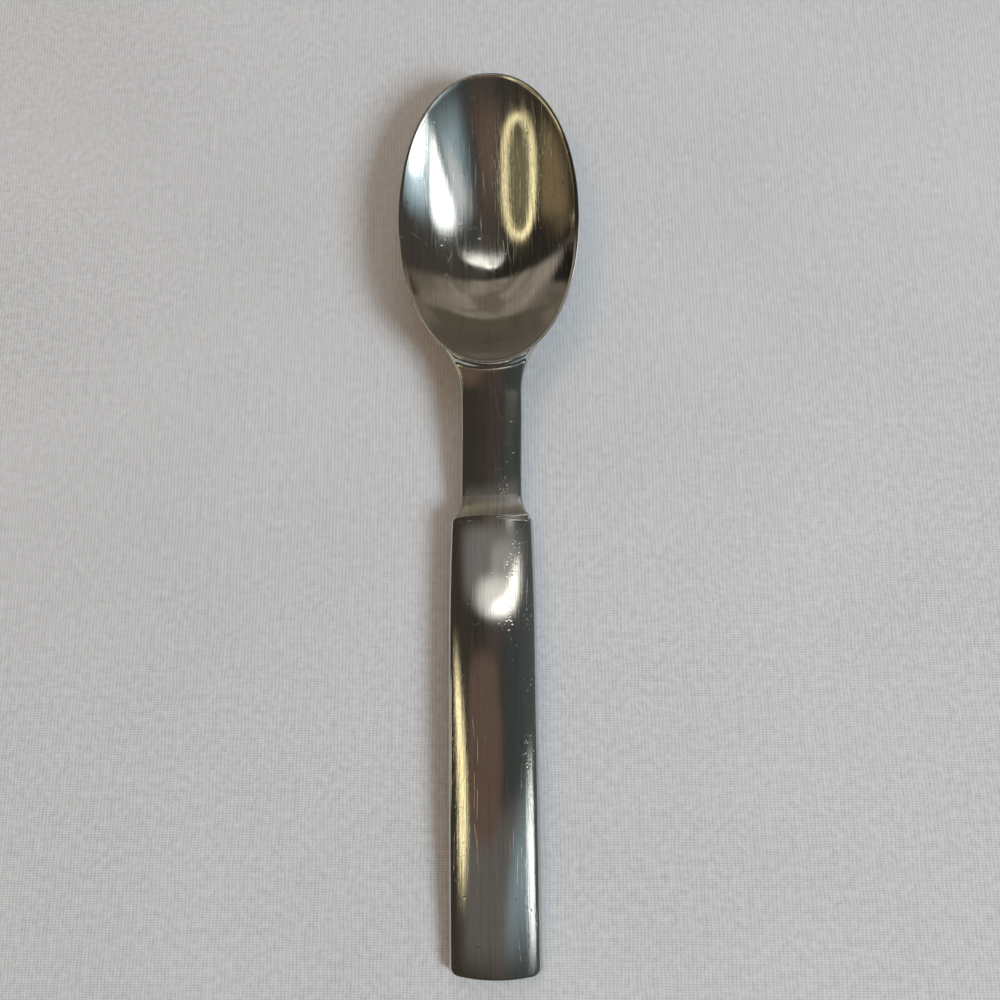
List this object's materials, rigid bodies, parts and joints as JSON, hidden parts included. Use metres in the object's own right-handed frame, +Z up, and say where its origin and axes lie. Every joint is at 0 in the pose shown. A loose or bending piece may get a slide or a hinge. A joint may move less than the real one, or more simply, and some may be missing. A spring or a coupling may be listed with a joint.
{
  "type": "spoon",
  "caption": "One-piece steel spoon with an oval bowl, plain neck, sloping shoulder and a wide crowned bar handle.",
  "frame": {"origin": "middle of the overall length and width, on the plane the spoon rests on", "axes": "+Y from the handle to the tip of the bowl, +X across, +Z up out of the open bowl"},
  "size_m": [0.0384, 0.185, 0.011],
  "materials": {
    "steel": "fine lengthwise satin with small scratches, brighter inside the bowl"
  },
  "bodies": {
    "root": {"spoon": "steel"}
  },
  "joints": []
}
